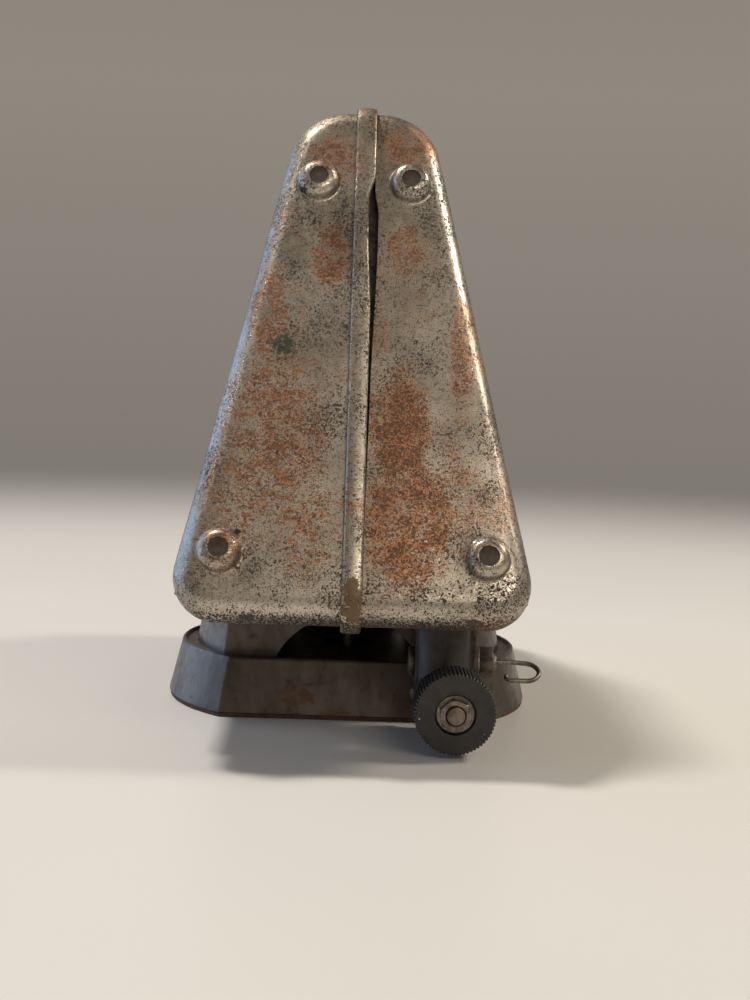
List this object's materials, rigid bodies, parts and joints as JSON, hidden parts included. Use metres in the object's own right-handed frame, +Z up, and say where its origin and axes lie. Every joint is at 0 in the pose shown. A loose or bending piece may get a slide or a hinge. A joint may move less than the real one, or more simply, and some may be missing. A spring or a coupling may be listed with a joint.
{
  "type": "turn-over electric toaster",
  "caption": "Tapered pressed-metal electric toaster on a round flat-sided pedestal; side doors hinge down and are turned by knurled knobs at opposite corners.",
  "frame": {"origin": "centre of the underside of the base", "axes": "+X towards the right-hand door, +Y towards the rear where the cord inlet is, +Z up"},
  "size_m": [0.112, 0.1998, 0.1778],
  "materials": {
    "nickel": "worn nickel plate with copper showing through",
    "sheet_steel": "plain sheet steel",
    "base_steel": "dull dark nickel with rust stains",
    "hardware": "tarnished steel hardware",
    "black_phenolic": "black phenolic, dusty",
    "porcelain": "unglazed porcelain",
    "mica": "mica sheet",
    "nichrome": "oxidised resistance ribbon",
    "brass": "tarnished brass",
    "fibre": "pressed red-brown fibre"
  },
  "bodies": {
    "root": {"shell_left": "nickel", "shell_right": "nickel", "floor_plate": "sheet_steel", "end_frame_front": "sheet_steel", "end_frame_rear": "sheet_steel", "shell_rivets": "hardware", "guard_rods": "sheet_steel", "guard_wires_right": "sheet_steel", "guard_wires_left": "sheet_steel", "mica_card_right": "mica", "mica_card_left": "mica", "heater_ribbon_right": "nichrome", "heater_ribbon_left": "nichrome", "card_rails_lower": "porcelain", "card_rail_upper": "porcelain", "bus_bars": "brass", "base_skirt": "base_steel", "base_plinth": "base_steel", "base_pad": "fibre", "bottom_plate": "sheet_steel", "centre_stud": "hardware", "centre_nuts": "hardware", "centre_spacer": "hardware", "plinth_screws": "hardware", "inlet_insulator": "porcelain", "inlet_shroud": "nickel", "terminal_pins": "brass", "bearing_blocks": "black_phenolic", "stud_brackets": "hardware", "cross_studs": "hardware", "cross_washers": "hardware", "cross_nuts": "hardware", "wire_loops": "hardware", "hinge_rods": "hardware", "hinge_brackets": "hardware"},
    "door_right": {"door_panel_right": "nickel", "toast_tray_right": "nickel", "door_ear_right": "hardware"},
    "knob_right": {"knob_right": "black_phenolic", "knob_washer_right": "hardware", "knob_nut_right": "hardware", "spindle_right": "hardware"},
    "link_right": {"link_right": "hardware"},
    "door_left": {"door_panel_left": "nickel", "toast_tray_left": "nickel", "door_ear_left": "hardware"},
    "knob_left": {"knob_left": "black_phenolic", "knob_washer_left": "hardware", "knob_nut_left": "hardware", "spindle_left": "hardware"},
    "link_left": {"link_left": "hardware"}
  },
  "joints": [
    {"name": "door_right_hinge", "type": "hinge", "parent": "root", "child": "door_right", "pos_m": [0.0445, 0, 0.043], "axis": [0, 1, 0], "range_deg": [0, 90]},
    {"name": "knob_right_turn", "type": "hinge", "parent": "root", "child": "knob_right", "pos_m": [0.0287, -0.0573, 0.0124], "axis": [0, 1, 0], "range_deg": [0, 90]},
    {"name": "link_right_pivot", "type": "hinge", "parent": "knob_right", "child": "link_right", "pos_m": [0.02108, -0.0452, 0.00997], "axis": [0, 1, 0], "range_deg": [-90, 0]},
    {"name": "door_left_hinge", "type": "hinge", "parent": "root", "child": "door_left", "pos_m": [-0.0445, 0, 0.043], "axis": [0, -1, 0], "range_deg": [0, 90]},
    {"name": "knob_left_turn", "type": "hinge", "parent": "root", "child": "knob_left", "pos_m": [-0.0287, 0.0573, 0.0124], "axis": [0, -1, 0], "range_deg": [0, 90]},
    {"name": "link_left_pivot", "type": "hinge", "parent": "knob_left", "child": "link_left", "pos_m": [-0.02108, 0.0452, 0.00997], "axis": [0, -1, 0], "range_deg": [-90, 0]}
  ],
  "couplings": [
    {"joint": "knob_right_turn", "follows": "door_right_hinge", "ratio": 1},
    {"joint": "link_right_pivot", "follows": "door_right_hinge", "ratio": -1},
    {"joint": "knob_left_turn", "follows": "door_left_hinge", "ratio": 1},
    {"joint": "link_left_pivot", "follows": "door_left_hinge", "ratio": -1}
  ]
}
